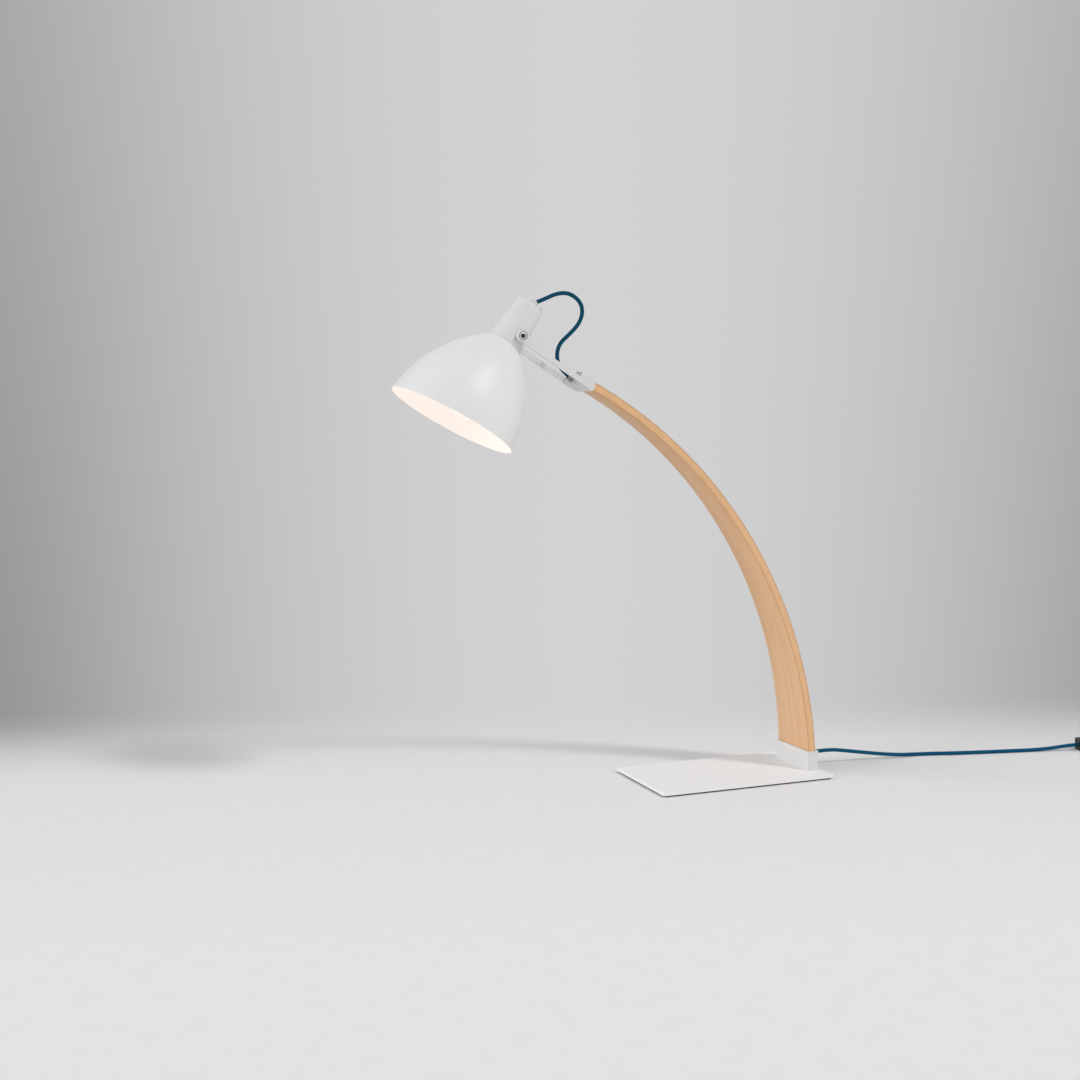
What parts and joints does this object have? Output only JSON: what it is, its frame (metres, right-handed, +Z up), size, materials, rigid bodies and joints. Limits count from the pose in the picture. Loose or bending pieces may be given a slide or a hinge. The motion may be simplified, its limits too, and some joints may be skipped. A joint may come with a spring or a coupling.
{
  "type": "table lamp",
  "caption": "Table lamp with a bent wooden arm on a flat steel plate, a tilting spun metal shade held in a two-bar fork, and a cloth cord with an inline rocker switch and plug.",
  "frame": {"origin": "middle of the pad's underside, on the table", "axes": "+Z up; +X along the plate towards the foot of the arm and the cord; the shade hangs out over -X; Y across the lamp"},
  "size_m": [1.1402, 0.1665, 0.6209],
  "materials": {
    "white_paint": "satin",
    "black_rubber": "matte",
    "bent_wood": "satin lacquer",
    "steel": "bright",
    "dark_steel": "blackened",
    "washer_plastic": "matte",
    "black_plastic": "fine matte",
    "brass": "bright",
    "bulb_opal": "opal",
    "cord_cloth": "woven"
  },
  "bodies": {
    "stand": {"base_plate": "white_paint", "arm_socket": "white_paint", "fork": "white_paint", "base_pad": "black_rubber", "base_cord_bush": "black_rubber", "fork_cord_bush": "black_rubber", "arm": "bent_wood", "socket_screws": "steel", "arm_screws": "steel", "plug_pins": "steel", "switch_screws": "steel", "clamp_screw": "steel", "cap_screws": "dark_steel", "switch_lower": "black_plastic", "switch_upper": "black_plastic", "plug_body": "black_plastic", "plug_relief": "black_plastic", "cord_tie": "black_plastic", "switch_terminals": "brass", "arm_cord": "cord_cloth", "head_cord": "cord_cloth", "mains_cord": "cord_cloth", "switch_cord": "cord_cloth", "cord_coil": "cord_cloth"},
    "head": {"shade": "white_paint", "shade_neck": "white_paint", "pivot_bolts": "steel", "pivot_washers": "washer_plastic", "neck_cord_grip": "washer_plastic", "neck_screw": "steel", "cord_nipple": "steel", "lampholder_cap": "black_plastic", "lampholder_skirt": "black_plastic", "shade_ring": "black_plastic", "screw_shell": "brass", "centre_contact": "brass", "bulb_glass": "bulb_opal", "bulb_cap": "brass", "bulb_contact": "brass"},
    "rocker": {"switch_rocker": "black_plastic"}
  },
  "joints": [
    {"name": "head_tilt", "type": "hinge", "parent": "stand", "child": "head", "pos_m": [-0.2927, 0, 0.56486], "axis": [0, 1, 0], "range_deg": [-40, 55], "deforming": ["head_cord"]},
    {"name": "switch_rock", "type": "hinge", "parent": "stand", "child": "rocker", "pos_m": [0.56, -0.066, 0.0124], "axis": [0.225, 0.9744, 0], "range_deg": [-16, 0]}
  ]
}
